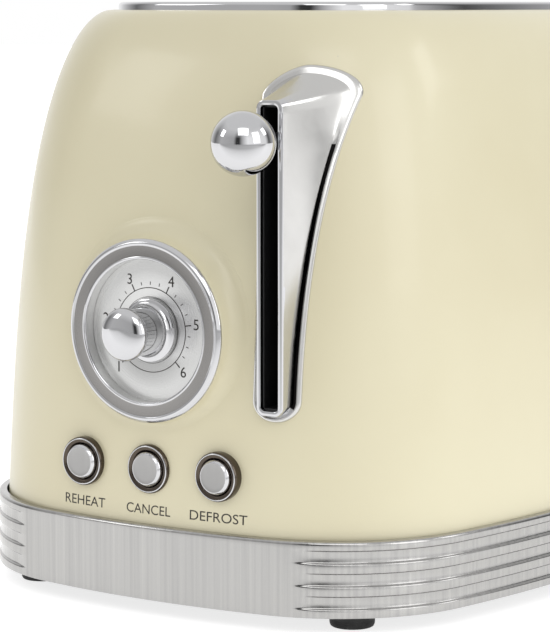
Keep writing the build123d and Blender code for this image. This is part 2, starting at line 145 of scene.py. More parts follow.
def at_inset(column, inset, z, corner_rule=shell_corner):
    """The point of a column that lies inside the outline by an inset."""
    flip_x, flip_y, arc, share = column
    corner = corner_rule(inset)
    corner_x, corner_forward, end_turn, side_turn = corner_arc(inset, corner)
    if arc == 0:
        turn = end_turn * share
        x, forward, radius = 0.0, END_CENTRE, END_BOW - inset
    elif arc == 1:
        turn = end_turn + (side_turn - end_turn) * share
        x, forward, radius = corner_x, corner_forward, corner
    else:
        turn = side_turn + (pi / 2 - side_turn) * share
        x, forward, radius = SIDE_CENTRE, 0.0, SIDE_BOW - inset
    return (flip_x * (x + radius * sin(turn)), BODY_Y - flip_y * (forward + radius * cos(turn)), z)


def wall_inset(share, thickness=0.0):
    """The wall's inset at a share of its rise: a straight draft and a shoulder that rolls over."""
    shoulder = 1 - sqrt(max(0.0, 1 - share ** 3))
    return SHELL_INSET + DRAFT_INSET * share + SHOULDER_INSET * shoulder + thickness


def front_surface(x, z):
    """Y of the enamelled surface on the control end."""
    share = min(1.0, max(0.0, (z - BAND_TOP) / (SHELL_TOP - BAND_TOP)))
    inset = wall_inset(share)
    corner = shell_corner(inset)
    corner_x, corner_forward, end_turn, _ = corner_arc(inset, corner)
    reach = abs(x)
    end_radius = END_BOW - inset
    if reach <= end_radius * sin(end_turn):
        forward = END_CENTRE + sqrt(end_radius ** 2 - reach ** 2)
    else:
        forward = corner_forward + sqrt(max(0.0, corner ** 2 - (reach - corner_x) ** 2))
    return BODY_Y - forward


# ---------------------------------------------------------------- mesh helpers
def weld(data):
    """Merge doubled points and turn every face outwards."""
    bm = bmesh.new()
    bm.from_mesh(data)
    bmesh.ops.remove_doubles(bm, verts=bm.verts, dist=WELD_DISTANCE)
    bmesh.ops.recalc_face_normals(bm, faces=bm.faces)
    bm.to_mesh(data)
    bm.free()


def mesh_piece(name, points, faces, material, sharp=35, body="housing"):
    """A mesh object from points in millimetres, smooth except across edges sharper than an angle."""
    data = bpy.data.meshes.new(name)
    data.from_pydata([(x * MM, y * MM, z * MM) for x, y, z in points], [], faces)
    data.validate()
    weld(data)
    piece = bpy.data.objects.new(name, data)
    bpy.context.scene.collection.objects.link(piece)
    data.materials.append(material)
    smooth(piece, sharp)
    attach(piece, body)
    return piece


def smooth(piece, sharp):
    """Smooth shading except across edges sharper than an angle in degrees."""
    piece.data.shade_smooth()
    piece.data.set_sharp_from_angle(angle=radians(sharp))


def grid(rows, close_rows=False, close_columns=True):
    """Points and quads of a grid given as rows of equal length."""
    width = len(rows[0])
    points = [point for row in rows for point in row]
    faces = []
    for r in range(len(rows) if close_rows else len(rows) - 1):
        for c in range(width if close_columns else width - 1):
            r2 = (r + 1) % len(rows)
            c2 = (c + 1) % width
            faces.append((r * width + c, r * width + c2, r2 * width + c2, r2 * width + c))
    return points, faces


def join_lists(*parts):
    """One list of points and faces from several."""
    points = []
    faces = []
    for more_points, more_faces in parts:
        start = len(points)
        points += more_points
        faces += [tuple(start + i for i in face) for face in more_faces]
    return points, faces


def rounded(profile, radius, steps=4):
    """An open profile of (a, b) points with each inner corner cut by a small arc."""
    result = [profile[0]]
    for before, here, after in zip(profile, profile[1:], profile[2:]):
        v1 = Vector(before) - Vector(here)
        v2 = Vector(after) - Vector(here)
        cut = min(radius, 0.45 * v1.length, 0.45 * v2.length)
        start = Vector(here) + v1.normalized() * cut
        stop = Vector(here) + v2.normalized() * cut
        for step in range(steps + 1):
            t = step / steps
            point = start * (1 - t) ** 2 + Vector(here) * 2 * t * (1 - t) + stop * t ** 2
            result.append(tuple(point))
    result.append(profile[-1])
    return result


def rounded_loop(profile, radius, steps=4):
    """A closed profile with each corner cut by a small arc."""
    opened = rounded([profile[-1], *profile, profile[0]], radius, steps)
    return opened[1:-1]


def lathe(profile, centre, axis="y", turns=128):
    """Points and faces of a profile of (radius, place along the axis), turned about an axis."""
    rows = []
    for radius, along in profile:
        row = []
        for step in range(turns):
            turn = 2 * pi * step / turns
            a = radius * cos(turn)
            b = radius * sin(turn)
            if axis == "y":
                row.append((centre[0] + a, along, centre[2] + b))
            else:
                row.append((centre[0] + a, centre[1] + b, along))
        rows.append(row)
    return grid(rows, close_rows=profile[0][0] > 0.01)


def paint(piece, material, chosen):
    """Give a second material to the faces whose centre, in millimetres, is chosen."""
    piece.data.materials.append(material)
    index = len(piece.data.materials) - 1
    for face in piece.data.polygons:
        if chosen(face.center / MM, face.normal):
            face.material_index = index


# ---------------------------------------------------------------- materials
class Nodes:
    """A node tree with short ways to add nodes and links."""

    def __init__(self, tree):
        self.tree = tree

    def node(self, kind, inputs=None, **settings):
        """A new node; its inputs, by name or number, are values or other nodes' outputs."""
        node = self.tree.nodes.new(kind)
        for name, value in settings.items():
            setattr(node, name, value)
        for socket, value in (inputs or {}).items():
            if isinstance(value, bpy.types.NodeSocket):
                self.link(value, node.inputs[socket])
            else:
                node.inputs[socket].default_value = value
        return node

    def link(self, source, target):
        self.tree.links.new(source, target)

    def spread(self, value, low, high, from_low=0.3, from_high=0.7):
        """A value mapped to a range."""
        limits = {"From Min": from_low, "From Max": from_high, "To Min": low, "To Max": high}
        return self.node("ShaderNodeMapRange", {"Value": value, **limits}).outputs["Result"]

    def colours(self, value, *stops):
        """A colour ramp over a value: stops are (place, colour)."""
        ramp = self.node("ShaderNodeValToRGB", {"Fac": value})
        elements = ramp.color_ramp.elements
        while len(elements) < len(stops):
            elements.new(0.5)
        for element, (place, colour) in zip(elements, stops):
            element.position = place
            element.color = (*colour, 1)
        return ramp.outputs["Color"]


class Shader(Nodes):
    """A material whose nodes drive one Principled shader."""

    def __init__(self, name, **values):
        self.material = bpy.data.materials.new(name)
        self.material.use_nodes = True
        super().__init__(self.material.node_tree)
        self.bsdf = self.tree.nodes["Principled BSDF"]
        for socket, value in values.items():
            self.bsdf.inputs[socket.replace("_", " ")].default_value = value

    def place(self, scale=(1, 1, 1)):
        """Object coordinates stretched by a scale."""
        coordinates = self.node("ShaderNodeTexCoord").outputs["Object"]
        return self.node("ShaderNodeMapping", {"Scale": scale, "Vector": coordinates}).outputs["Vector"]

    def noise(self, scale, detail=3.0, roughness=0.5, stretch=(1, 1, 1)):
        settings = {"Scale": scale, "Detail": detail, "Roughness": roughness, "Vector": self.place(stretch)}
        return self.node("ShaderNodeTexNoise", settings).outputs["Fac"]

    def bump(self, height, distance, strength):
        settings = {"Height": height, "Distance": distance, "Strength": strength}
        self.use("Normal", self.node("ShaderNodeBump", settings).outputs["Normal"])

    def use(self, socket, source):
        self.link(source, self.bsdf.inputs[socket])


def srgb(red, green, blue):
    """A linear colour from 0-255 screen values."""
    def linear(value):
        value /= 255
        return value / 12.92 if value <= 0.04045 else ((value + 0.055) / 1.055) ** 2.4
    return linear(red), linear(green), linear(blue)


def two_tones(colour, share):
    """A screen colour as a linear one, dimmed by a share and as it is."""
    pale = srgb(*colour)
    return tuple(share * channel for channel in pale), pale


def cream_enamel():
    shader = Shader("cream_enamel", Coat_Weight=0.35, Coat_Roughness=0.12)
    tone = shader.noise(14.0, 4.0)
    shader.use("Base Color", shader.colours(tone, (0.35, srgb(220, 212, 181)), (0.65, srgb(223, 216, 186))))
    shader.use("Roughness", shader.spread(shader.noise(60.0, 5.0), 0.30, 0.38))
    shader.bump(shader.noise(900.0, 2.0), 0.00004, 0.5)
    return shader.material


def chrome(name="bright_chrome", colour=(212, 212, 214), low=0.03, high=0.09):
    shader = Shader(name, Metallic=1.0)
    tone = shader.noise(40.0, 3.0)
    dim, pale = two_tones(colour, 0.96)
    shader.use("Base Color", shader.colours(tone, (0.3, dim), (0.7, pale)))
    shader.use("Roughness", shader.spread(shader.noise(220.0, 6.0, 0.7), low, high))
    return shader.material


def brushed(name, colour, stretch, low, high):
    """Metal with fine parallel scratches: stretch squeezes the noise across them."""
    shader = Shader(name, Metallic=1.0)
    streaks = shader.noise(900.0, 4.0, 0.7, stretch)
    broad = shader.noise(60.0, 3.0, 0.5, stretch)
    dim, pale = two_tones(colour, 0.90)
    shader.use("Base Color", shader.colours(broad, (0.3, dim), (0.7, pale)))
    shader.use("Roughness", shader.spread(streaks, low, high))
    shader.bump(streaks, 0.00002, 0.35)
    return shader.material


def brushed_band():
    """Rolled sheet with fine upright streaks, which smear what it mirrors upwards and downwards."""
    shader = Shader("brushed_band", Metallic=1.0, Anisotropic=0.75, Anisotropic_Rotation=0.25)
    tangent = shader.node("ShaderNodeTangent", direction_type="RADIAL", axis="Z")
    shader.use("Tangent", tangent.outputs["Tangent"])
    streaks = shader.noise(700.0, 3.0, 0.6, (1, 1, 0.01))
    shader.use("Base Color", shader.colours(streaks, (0.3, srgb(172, 171, 170)), (0.7, srgb(188, 187, 185))))
    shader.use("Roughness", shader.spread(streaks, 0.13, 0.19))
    return shader.material


def spun(name, colour, low=0.22, high=0.36, centre=(0, 0, 0)):
    """Metal with concentric turning marks about a front-to-back axis."""
    shader = Shader(name, Metallic=1.0)
    place = shader.node("ShaderNodeTexCoord").outputs["Object"]
    for operation, other in (("SUBTRACT", Vector(centre) * MM), ("MULTIPLY", (1, 0, 1))):
        moved = shader.node("ShaderNodeVectorMath", {0: place, 1: other}, operation=operation)
        place = moved.outputs["Vector"]
    reach = shader.node("ShaderNodeVectorMath", {0: place}, operation="LENGTH").outputs["Value"]
    marks = {"Scale": 9000.0, "Detail": 3.0, "W": reach}
    rings = shader.node("ShaderNodeTexNoise", marks, noise_dimensions="1D").outputs["Fac"]
    dim, pale = two_tones(colour, 0.93)
    shader.use("Base Color", shader.colours(rings, (0.35, dim), (0.65, pale)))
    shader.use("Roughness", shader.spread(rings, low, high))
    shader.bump(rings, 0.00001, 0.3)
    return shader.material


def moulded(name, colour, low=0.35, high=0.55, grain=1400.0, depth=0.00003):
    """Plastic or rubber with a fine moulded grain."""
    shader = Shader(name)
    dim, pale = two_tones(colour, 0.82)
    shader.use("Base Color", shader.colours(shader.noise(90.0, 4.0), (0.3, dim), (0.7, pale)))
    shader.use("Roughness", shader.spread(shader.noise(300.0, 4.0), low, high))
    shader.bump(shader.noise(grain, 3.0), depth, 0.6)
    return shader.material


def mica_sheet():
    shader = Shader("mica")
    flakes = shader.node("ShaderNodeTexVoronoi", {"Scale": 180.0, "Vector": shader.place((1, 1, 0.6))})
    shader.use("Base Color", shader.colours(
        flakes.outputs["Distance"], (0.1, srgb(200, 190, 165)), (0.8, srgb(158, 146, 120)),
    ))
    shader.use("Roughness", shader.spread(shader.noise(200.0), 0.3, 0.5))
    shader.bump(flakes.outputs["Distance"], 0.0001, 0.3)
    return shader.material


def heat_tinted():
    shader = Shader("heater_ribbon", Metallic=1.0)
    shader.use("Base Color", shader.colours(
        shader.noise(70.0, 4.0),
        (0.3, srgb(96, 84, 78)), (0.5, srgb(134, 122, 112)), (0.75, srgb(112, 92, 84)),
    ))
    shader.use("Roughness", shader.spread(shader.noise(400.0), 0.35, 0.6))
    shader.bump(shader.noise(1500.0), 0.00002, 0.4)
    return shader.material


def circuit_board():
    shader = Shader("board_green", Coat_Weight=0.4, Coat_Roughness=0.2)
    tracks = shader.node("ShaderNodeTexBrick", {
        "Scale": 260.0, "Mortar Size": 0.03, "Vector": shader.place(), "Color1": (*srgb(30, 92, 46), 1),
        "Color2": (*srgb(34, 102, 52), 1), "Mortar": (*srgb(58, 132, 74), 1),
    })
    shader.use("Base Color", tracks.outputs["Color"])
    shader.use("Roughness", shader.spread(shader.noise(300.0), 0.35, 0.5))
    return shader.material


def enamelled_winding():
    shader = Shader("coil_copper", Metallic=1.0)
    wave = {"Scale": 900.0, "Distortion": 0.4, "Vector": shader.place()}
    turns = shader.node("ShaderNodeTexWave", wave, bands_direction="Z")
    shader.use("Base Color", shader.colours(
        turns.outputs["Fac"], (0.1, srgb(120, 58, 30)), (0.8, srgb(196, 112, 62)),
    ))
    shader.use("Roughness", shader.spread(turns.outputs["Fac"], 0.25, 0.4))
    shader.bump(turns.outputs["Fac"], 0.0001, 0.6)
    return shader.material


def zinc_sheet():
    shader = Shader("galvanised_steel", Metallic=1.0)
    spangle = shader.node("ShaderNodeTexVoronoi", {"Scale": 140.0, "Vector": shader.place()})
    tone = shader.node("ShaderNodeSeparateColor", {"Color": spangle.outputs["Color"]})
    shader.use("Base Color", shader.colours(
        tone.outputs["Red"], (0.0, srgb(160, 164, 168)), (1.0, srgb(196, 199, 202)),
    ))
    shader.use("Roughness", shader.spread(tone.outputs["Green"], 0.28, 0.48, 0.0, 1.0))
    shader.bump(shader.noise(700.0), 0.00002, 0.3)
    return shader.material


def printed_ink():
    shader = Shader("printed_ink")
    shader.use("Base Color", shader.colours(
        shader.noise(800.0, 3.0), (0.3, srgb(38, 34, 30)), (0.7, srgb(54, 49, 44)),
    ))
    shader.use("Roughness", shader.spread(shader.noise(500.0), 0.4, 0.6))
    return shader.material


dial_centre = middle("dial_bezel")
CREAM = cream_enamel()
CHROME = chrome()
GUNMETAL = chrome("dark_metal", (92, 84, 76), 0.08, 0.18)
COVER_METAL = chrome("cover_satin", (214, 213, 211), 0.13, 0.21)
# painted shade: a dark metal for the gutter floor beside the lever cover, standing in for the shadow in that
# gap
GUTTER_PAINTED_SHADE = chrome("gutter_painted_shade", (34, 32, 31), 0.10, 0.20)
BAND_METAL = brushed_band()
SATIN = brushed("satin_metal", (200, 199, 197), (1, 1, 0.03), 0.24, 0.38)
SATIN_FACE = brushed("button_satin", (176, 175, 174), (1, 1, 0.05), 0.30, 0.42)
BEZEL_METAL = spun("bezel_satin", (150, 148, 146), 0.20, 0.32, dial_centre)
DIAL_METAL = spun("dial_silver", (222, 222, 221), 0.25, 0.38, dial_centre)
BLACK_PLASTIC = moulded("black_plastic", (22, 22, 23))
COMPONENT = moulded("component_plastic", (34, 34, 38), 0.25, 0.4)
RUBBER = moulded("black_rubber", (18, 18, 18), 0.55, 0.75, 900.0, 0.00006)
ZINC = zinc_sheet()
WIRE = chrome("spring_steel", (176, 176, 178), 0.15, 0.28)
IRON = brushed("magnet_iron", (120, 120, 124), (1, 1, 0.1), 0.35, 0.55)
INK = printed_ink()
SLOT_MATERIALS = {
    "cream_enamel": CREAM, "bright_chrome": CHROME, "brushed_band": BAND_METAL, "satin_metal": SATIN,
    "dark_metal": GUNMETAL, "dial_silver": DIAL_METAL, "black_plastic": BLACK_PLASTIC,
    "black_rubber": RUBBER, "galvanised_steel": ZINC, "spring_steel": WIRE, "mica": mica_sheet(),
    "heater_ribbon": heat_tinted(), "board_green": circuit_board(), "magnet_iron": IRON,
    "coil_copper": enamelled_winding(), "component_plastic": COMPONENT,
}


def dress_cad_nodes():
    """Every CAD node takes the procedural material of its own slot in the record."""
    for part in frame["record"]["subparts"]:
        piece = NODES[part["node"]]
        piece.data.materials.clear()
        piece.data.materials.append(SLOT_MATERIALS[part["material_slot"]])
        smooth(piece, 30)


dress_cad_nodes()


# ---------------------------------------------------------------- camera, light and floor
VIEW_AZIMUTH = 33.11        # degrees, from the front towards the right
VIEW_DOWN = 7.0
VIEW_DISTANCE = 850.0
VIEW_AIM = (-2.3, -59.7, 85.7)
VIEW_LENS = 145.8
SENSOR = 36.0
FLOOR_REACH = 8.0           # metres
FLOOR_GLOW_HIGH = 0.78
FLOOR_GLOW_LOW = 0.12
FLOOR_SLANT = -0.65         # the floor's painted glow falls off forwards, and to the right at this share of the rate
FALL_START = -0.27          # metres
FALL_STOP = -0.80


def make_camera():
    turn = radians(VIEW_AZIMUTH)
    down = radians(VIEW_DOWN)
    look = Vector((-sin(turn) * cos(down), cos(turn) * cos(down), -sin(down)))
    data = bpy.data.cameras.new("view")
    data.lens = VIEW_LENS
    data.sensor_width = SENSOR
    data.clip_start = 0.01
    camera = bpy.data.objects.new("view", data)
    camera.location = (Vector(VIEW_AIM) - look * VIEW_DISTANCE) * MM
    camera.rotation_euler = look.to_track_quat("-Z", "Y").to_euler()
    bpy.context.scene.collection.objects.link(camera)
    bpy.context.scene.camera = camera


def soft_light(name, place, aim, size, power):
    """A rectangular softbox, in metres, that faces a point."""
    data = bpy.data.lights.new(name, "AREA")
    data.shape = "RECTANGLE"
    data.size, data.size_y = size
    data.energy = power
    light = bpy.data.objects.new(name, data)
    light.location = place
    light.rotation_euler = (Vector(aim) - Vector(place)).to_track_quat("-Z", "Y").to_euler()
    bpy.context.scene.collection.objects.link(light)


def make_sky():
    """White studio walls with grey and dark screens between them, by compass direction and by height."""
    world = bpy.data.worlds.new("studio")
    world.use_nodes = True
    sky = Nodes(world.node_tree)
    direction = sky.node("ShaderNodeTexCoord").outputs["Generated"]
    east, north, up = sky.node("ShaderNodeSeparateXYZ", {0: direction}).outputs
    compass = sky.node("ShaderNodeMath", {0: east, 1: north}, operation="ARCTAN2").outputs[0]
    # compass bearings in degrees, 0 behind the toaster and clockwise seen from above, with their brightness:
    # white walls, a dark screen on the left, one behind on the right and a dark strip beside the camera
    stops = [
        (-180, 0.5), (-130, 0.6), (-100, 0.2), (-60, 1.0), (0, 1.0), (45, 0.1), (60, 1.0),
        (130, 1.2), (150, 0.5), (160, 0.05), (170, 0.05), (180, 0.5),
    ]
    levels = [((bearing + 180) / 360, (level, level, level)) for bearing, level in stops]
    walls = sky.colours(sky.spread(compass, 0.0, 1.0, -pi, pi), *levels)
    height = sky.spread(up, 0.0, 1.0, 0.35, 0.75)
    ceiling = (0.80, 0.80, 0.80, 1)
    room = sky.node("ShaderNodeMix", {"Factor": height, "A": walls, "B": ceiling}, data_type="RGBA")
    sky.link(room.outputs["Result"], sky.tree.nodes["Background"].inputs["Color"])
    bpy.context.scene.world = world


def make_surroundings():
    make_sky()
    # name, place, aim and size in metres, power in watts
    soft_light("key", (0.7, -1.1, 1.3), (0, 0, 0.1), (1.0, 0.8), 3.4)
    soft_light("side", (1.5, -0.3, 0.7), (0, 0, 0.1), (0.7, 1.0), 2.9)
    soft_light("left_window", (-0.88, -0.88, 0.76), (-0.02, -0.12, 0.165), (0.34, 0.42), 1.0)
    soft_light("right_window", (1.0, 0.53, 0.83), (0.066, -0.08, 0.17), (0.34, 0.42), 1.0)
    floor = bpy.data.meshes.new("floor")
    far = FLOOR_REACH
    floor.from_pydata([(-far, -far, 0), (far, -far, 0), (far, far, 0), (-far, far, 0)], [], [(0, 1, 2, 3)])
    piece = bpy.data.objects.new("floor", floor)
    shader = Shader("pale_floor", Roughness=0.6, Emission_Color=(1, 1, 1, 1))
    # painted light: the floor glows most under and behind the toaster, and the glow falls off towards the
    # open room in front of it
    across, along, _ = shader.node("ShaderNodeSeparateXYZ", {0: shader.place()}).outputs
    away = shader.node("ShaderNodeMath", {0: across, 1: FLOOR_SLANT, 2: along}, operation="MULTIPLY_ADD")
    glow = shader.spread(away.outputs[0], FLOOR_GLOW_LOW, FLOOR_GLOW_HIGH, FALL_STOP, FALL_START)
    # painted light: the floor's own emission, not a lamp, makes it bright
    shader.use("Emission Strength", glow)
    tones = shader.colours(shader.noise(3.0), (0.3, (0.44, 0.44, 0.44)), (0.7, (0.46, 0.46, 0.46)))
    shader.use("Base Color", tones)
    floor.materials.append(shader.material)
    bpy.context.scene.collection.objects.link(piece)
    view = bpy.context.scene.view_settings
    view.view_transform = "Standard"
    view.look = "None"


make_camera()
make_surroundings()


# ---------------------------------------------------------------- enamelled shell
lever_centre = middle("lever_ball")
slot_low, slot_high = box_mm("slot_liner")
BUTTONS = ("reheat", "cancel", "defrost")
AHEAD = -160.0              # clear of the body's front and back, and inside its back, for the cuts
BEHIND = BODY_Y + 180
REAR_INSIDE = BODY_Y + 90
DIAL_INSIDE = -100.0
BUTTON_INSIDE = -110.0
SHELL_RIM_INSET = 39.5
SHOULDER_START = 0.6        # share of the wall's rise above which the shoulder is drawn in finer steps
DIAL_HOLE = 23.0
GLAND_HOLE = 6.2
BUTTON_HOLE = 6.9
BEZEL_DEPTH = 1.8
BOSS_BORE = 24.2


def cutter(points, faces):
    """A closed solid used only to cut holes."""
    data = bpy.data.meshes.new("cutter")
    data.from_pydata([(x * MM, y * MM, z * MM) for x, y, z in points], [], faces)
    weld(data)
    return bpy.data.objects.new("cutter", data)


def block(low, high):
    """Points and faces of a box."""
    points = [(x, y, z) for x in (low[0], high[0]) for y in (low[1], high[1]) for z in (low[2], high[2])]
    return points, [(0, 1, 3, 2), (4, 6, 7, 5), (0, 4, 5, 1), (2, 3, 7, 6), (0, 2, 6, 4), (1, 5, 7, 3)]


def drum(x, z, radius, front, back, turns=64):
    """Points and faces of a round plug along Y."""
    return lathe([(0, front), (radius, front), (radius, back), (0, back)], (x, 0, z), "y", turns)


def cut(piece, *solids):
    """Take solids away from a piece's mesh."""
    tool = cutter(*join_lists(*solids))
    bpy.context.scene.collection.objects.link(tool)
    modifier = piece.modifiers.new("cut", "BOOLEAN")
    modifier.operation = "DIFFERENCE"
    modifier.solver = "EXACT"
    modifier.object = tool
    bpy.context.view_layer.update()
    cut_mesh = bpy.data.meshes.new_from_object(piece.evaluated_get(bpy.context.evaluated_depsgraph_get()))
    piece.modifiers.clear()
    piece.data = cut_mesh
    bpy.data.objects.remove(tool)


def shell_rows(thickness, columns, shares, bottom):
    """Rows of the wall from its bottom edge to its crown, moved in by a thickness."""
    rise = SHELL_TOP - thickness - BAND_TOP
    rows = [[at_inset(c, wall_inset(0, thickness), bottom) for c in columns]]
    for share in shares:
        inset = wall_inset(share, thickness)
        rows.append([at_inset(c, inset, BAND_TOP + rise * share) for c in columns])
    return rows


def make_shell():
    columns = plan_columns(PLAN_STEP)
    lower = [SHOULDER_START * step / 14 for step in range(14)]
    start = asin(SHOULDER_START ** 1.5)
    upper = [sin(start + (pi / 2 - start) * step / 30) ** (2 / 3) for step in range(31)]
    outer = shell_rows(0.0, columns, lower + upper, SKIRT_BOTTOM)
    inner = shell_rows(SKIN, columns, lower[::3] + upper[::2], SKIRT_BOTTOM)
    outer.append([at_inset(c, SHELL_RIM_INSET, SHELL_TOP) for c in columns])
    outer.append([at_inset(c, SHELL_RIM_INSET, SHELL_TOP - SKIN) for c in columns])
    piece = mesh_piece("enamel_shell", *grid(outer + inner[::-1], close_rows=True), CREAM, 40)
    tray_low, tray_high = box_mm("tray_handle")
    gland = middle("cord_gland")
    # each opening is a little larger than what goes through it
    holes = [
        block(
            (slot_low.x - 0.9, AHEAD, slot_low.z - 2),
            (slot_high.x + 0.9, slot_high.y + 5, slot_high.z + 2),
        ),
        drum(dial_centre.x, dial_centre.z, DIAL_HOLE, AHEAD, DIAL_INSIDE),
        block((tray_low.x - 0.5, REAR_INSIDE, -5), (tray_high.x + 0.5, BEHIND, tray_high.z + 0.6)),
        drum(gland.x, gland.z, GLAND_HOLE, BODY_Y + 100, BEHIND),
    ]
    for name in BUTTONS:
        centre = middle(f"{name}_ring")
        holes.append(drum(centre.x, centre.z, BUTTON_HOLE, AHEAD, BUTTON_INSIDE))
    cut(piece, *holes)
    smooth(piece, 40)
    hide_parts("body_shell")


def make_dial_boss():
    """The round boss that stands out of the shell and carries the bezel square to the user."""
    low, high = box_mm("dial_bezel")
    seat = low.y + BEZEL_DEPTH
    radius = (high.x - low.x) / 2
    turns = 160
    rows = [[] for _ in range(24)]
    for step in range(turns):
        turn = 2 * pi * step / turns
        across, up = cos(turn), sin(turn)

        def spot(reach, y):
            return (dial_centre.x + across * reach, y, dial_centre.z + up * reach)

        def surface(reach):
            return front_surface(dial_centre.x + across * reach, dial_centre.z + up * reach)

        height = surface(radius) - seat
        spread = 2.4 + 0.55 * height
        end = radius + spread
        slope = (surface(end + 0.5) - surface(end - 0.5)) * spread
        line = [spot(BOSS_BORE, seat + 0.05), spot(radius - 0.5, seat + 0.05)]
        line.append(spot(radius - 0.1, seat + 0.25))
        count = len(rows) - 7
        for part in range(count + 1):
            t = part / count
            h00 = 2 * t ** 3 - 3 * t ** 2 + 1
            h10 = t ** 3 - 2 * t ** 2 + t
            h01 = -2 * t ** 3 + 3 * t ** 2
            h11 = t ** 3 - t ** 2
            reach = h00 * radius + h10 * 0.35 * spread + h01 * end + h11 * 1.5 * spread
            y = h00 * (seat + 0.6) + h10 * 1.6 * height + h01 * (surface(end) + 0.01) + h11 * 1.5 * slope
            line.append(spot(reach, y))
        line.append(spot(end + 0.4, surface(end + 0.4) + 0.25))
        line.append(spot(end, surface(end) + 0.9))
        line.append(spot(BOSS_BORE, surface(radius) + 0.9))
        for row, point in zip(rows, line):
            row.append(point)
    piece = mesh_piece("dial_boss", *grid(rows, close_rows=True), CREAM, 50)


make_shell()
make_dial_boss()


# ---------------------------------------------------------------- ribbed band
GROOVE_WIDTH = 4.1
GROOVE_DEPTH = 0.8
GROOVE_PITCH = 7.0
GROOVE_FIRST = 4.7
PANEL_HALF_WIDTH = 50.5
PANEL_FADE = 8.0


def ease(value):
    """A smooth step from 0 to 1."""
    value = min(1.0, max(0.0, value))
    return value * value * (3 - 2 * value)


def make_band():
    columns = plan_columns(PLAN_STEP / 2)
    half = GROOVE_WIDTH / 2
    levels = []
    for row in range(3):
        centre = BAND_TOP - GROOVE_FIRST - row * GROOVE_PITCH
        wall = ((0.35, 0), (0.1, 0.08), (-0.12, 0.45), (-0.3, 0.85), (-0.6, 1.0))
        levels += [(centre + (half + offset), depth) for offset, depth in wall]
        levels += [(centre + (-half - offset), depth) for offset, depth in reversed(wall)]
    lip = 1.1
    profile = [(BAND_THICKNESS, BAND_TOP, 0), (lip + 0.2, BAND_TOP, 0)]
    for step in range(6):
        turn = radians(90 * step / 5)
        profile.append((lip * (1 - sin(turn)), BAND_TOP - lip * (1 - cos(turn)), 0))
    profile += [(0, z, depth) for z, depth in levels]
    profile += [(0, BAND_BOTTOM + 0.5, 0), (0.15, BAND_BOTTOM + 0.15, 0), (0.5, BAND_BOTTOM, 0)]
    profile += [(BAND_THICKNESS, BAND_BOTTOM, 0)]
    rows = []
    for inset, z, depth in profile:
        row = []
        for column in columns:
            x = abs(at_inset(column, 0, 0, band_corner)[0])
            on_end = column[2] < 2
            share = ease((x - PANEL_HALF_WIDTH) / PANEL_FADE) if on_end else 1.0
            row.append(at_inset(column, inset + GROOVE_DEPTH * depth * share, z, band_corner))
        rows.append(row)
    piece = mesh_piece("ribbed_band", *grid(rows, close_rows=True), BAND_METAL, 60)
    low, high = box_mm("tray_handle")
    cut(piece, block((low.x - 0.5, REAR_INSIDE, low.z - 0.4), (high.x + 0.5, BEHIND, high.z + 0.4)))
    smooth(piece, 60)
    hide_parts("base_band")


make_band()


# ---------------------------------------------------------------- lever escutcheon and lever
LEVER_X = lever_centre.x
FRAME_FRONT = box_mm("lever_escutcheon")[0].y
FRAME_LIP = 1.6
SLOT_HALF = 3.0
SLOT_BOTTOM = slot_low.z + 0.4
SLOT_TOP = slot_high.z - 0.4
FLARE_STOP = 161.5
HAUNCH_BOTTOM = 70.0
GUTTER_TOP = 143.0          # the gutter inside the rim runs out above this height
GUTTER_FADE = 9.0
CROWN_RISE = 9.0
TOE_DROP = 6.6
WAIST = 7.5                 # half width of the cover's outline at its foot
FLARE_RIGHT = 7.8           # how much wider it is at the crown, to the right and to the left
FLARE_LEFT = 4.8
FLARE_POWER = 2.2
ARC_STEPS = 32
SIDE_STEPS = 44


def frame_loop(half, bottom, top, radius):
    """A rounded upright rectangle, as (x, z) points that match the teardrop's one for one."""
    def end(centre_z, sign):
        points = []
        for step in range(ARC_STEPS):
            t = step / (ARC_STEPS - 1)
            straight = 2 * (half - radius)
            arc = radius * pi / 2
            place = t * (straight + 2 * arc)
            if place < arc:
                turn = place / radius
                points.append((-half + radius - radius * cos(turn), centre_z + sign * radius * sin(turn)))
            elif place < arc + straight:
                points.append((-half + radius + place - arc, centre_z + sign * radius))
            else:
                turn = (place - arc - straight) / radius
                points.append((half - radius + radius * sin(turn), centre_z + sign * radius * cos(turn)))
        return points

    low, high = bottom + radius, top - radius
    side = [low + (high - low) * step / SIDE_STEPS for step in range(1, SIDE_STEPS)]
    loop = end(low, -1) + [(half, z) for z in side]
    return loop + end(high, 1)[::-1] + [(-half, z) for z in reversed(side)]


def cover_half(z, flare):
    """Half width of the cover's outline at a height, on the side that flares by flare."""
    return WAIST + flare * max(0.0, (z - HAUNCH_BOTTOM) / (FLARE_STOP - HAUNCH_BOTTOM)) ** FLARE_POWER


def teardrop_loop(trim):
    """The outline that the cover has on the body, trimmed all round."""
    def half(z, flare):
        return cover_half(z, flare) - trim

    def end(z, rise, sign, bow):
        points = []
        for step in range(ARC_STEPS):
            turn = pi * step / (ARC_STEPS - 1)
            right = turn > pi / 2
            power = 1.0 if right else bow
            across = abs(cos(turn)) ** power * half(z, FLARE_RIGHT if right else FLARE_LEFT)
            points.append((across if right else -across, z + sign * (rise - trim) * sin(turn) ** power))
        return points

    span = FLARE_STOP - HAUNCH_BOTTOM
    side = [HAUNCH_BOTTOM + span * step / SIDE_STEPS for step in range(1, SIDE_STEPS)]
    loop = end(HAUNCH_BOTTOM, TOE_DROP, -1, 1.0) + [(half(z, FLARE_RIGHT), z) for z in side]
    loop += end(FLARE_STOP, CROWN_RISE, 1, 1.35)[::-1]
    return loop + [(-half(z, FLARE_LEFT), z) for z in reversed(side)]


